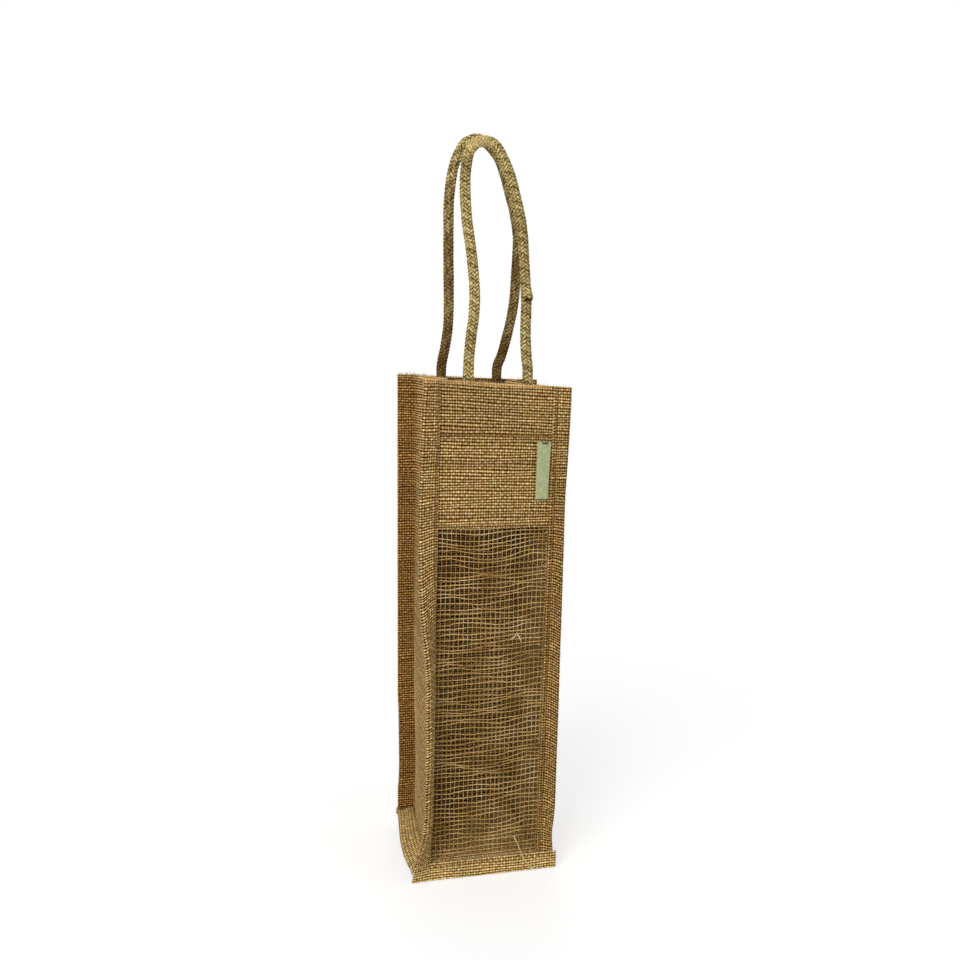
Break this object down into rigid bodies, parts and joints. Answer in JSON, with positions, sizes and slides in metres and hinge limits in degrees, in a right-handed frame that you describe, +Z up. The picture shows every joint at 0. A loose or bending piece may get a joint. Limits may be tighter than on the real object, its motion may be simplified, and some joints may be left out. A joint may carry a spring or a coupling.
{
  "type": "bottle gift bag",
  "caption": "Tall woven jute gift bag for a bottle, with a net window in front, creased side gussets, folded standing seams, rope loop handles and a bare flag label.",
  "frame": {"origin": "on the ground under the middle of the bag's base", "axes": "+Z up, the window looks along -Y, +X to the right of someone who faces the window"},
  "size_m": [0.107, 0.0896, 0.534],
  "materials": {
    "woven_jute": "plain woven natural jute, matt, with small pin-holes between the threads",
    "jute_net": "open woven net of single jute threads, matt",
    "braided_rope": "braided jute rope, matt, slightly hairy",
    "sewing_thread": "twisted sewing thread, matt",
    "woven_label": "bare sage green woven tape, soft sheen"
  },
  "bodies": {
    "bag": {"front_panel": "woven_jute", "window_net": "jute_net", "back_panel": "woven_jute", "left_side_panel": "woven_jute", "right_side_panel": "woven_jute", "base_panel": "woven_jute", "front_left_rope_end": "braided_rope", "front_right_rope_end": "braided_rope", "back_left_rope_end": "braided_rope", "back_right_rope_end": "braided_rope", "front_left_rope_tack": "sewing_thread", "front_right_rope_tack": "sewing_thread", "back_left_rope_tack": "sewing_thread", "back_right_rope_tack": "sewing_thread", "front_left_seam_thread": "sewing_thread", "front_right_seam_thread": "sewing_thread", "back_left_seam_thread": "sewing_thread", "back_right_seam_thread": "sewing_thread", "front_rim_thread": "sewing_thread", "back_rim_thread": "sewing_thread", "left_rim_thread": "sewing_thread", "right_rim_thread": "sewing_thread", "front_hem_thread": "sewing_thread", "back_hem_thread": "sewing_thread", "window_thread": "sewing_thread"},
    "front_handle": {"front_handle": "braided_rope"},
    "back_handle": {"back_handle": "braided_rope"},
    "label": {"side_label": "woven_label"}
  },
  "joints": [
    {"name": "front_handle_swing", "type": "hinge", "parent": "bag", "child": "front_handle", "pos_m": [0.0015, -0.03565, 0.369], "axis": [1, 0, 0], "range_deg": [0, 126]},
    {"name": "back_handle_swing", "type": "hinge", "parent": "bag", "child": "back_handle", "pos_m": [-0.003, 0.03565, 0.369], "axis": [-1, 0, 0], "range_deg": [0, 126]},
    {"name": "label_flip", "type": "hinge", "parent": "bag", "child": "label", "pos_m": [0.03905, -0.044, 0.3], "axis": [0, 0, 1], "range_deg": [0, 140]}
  ]
}
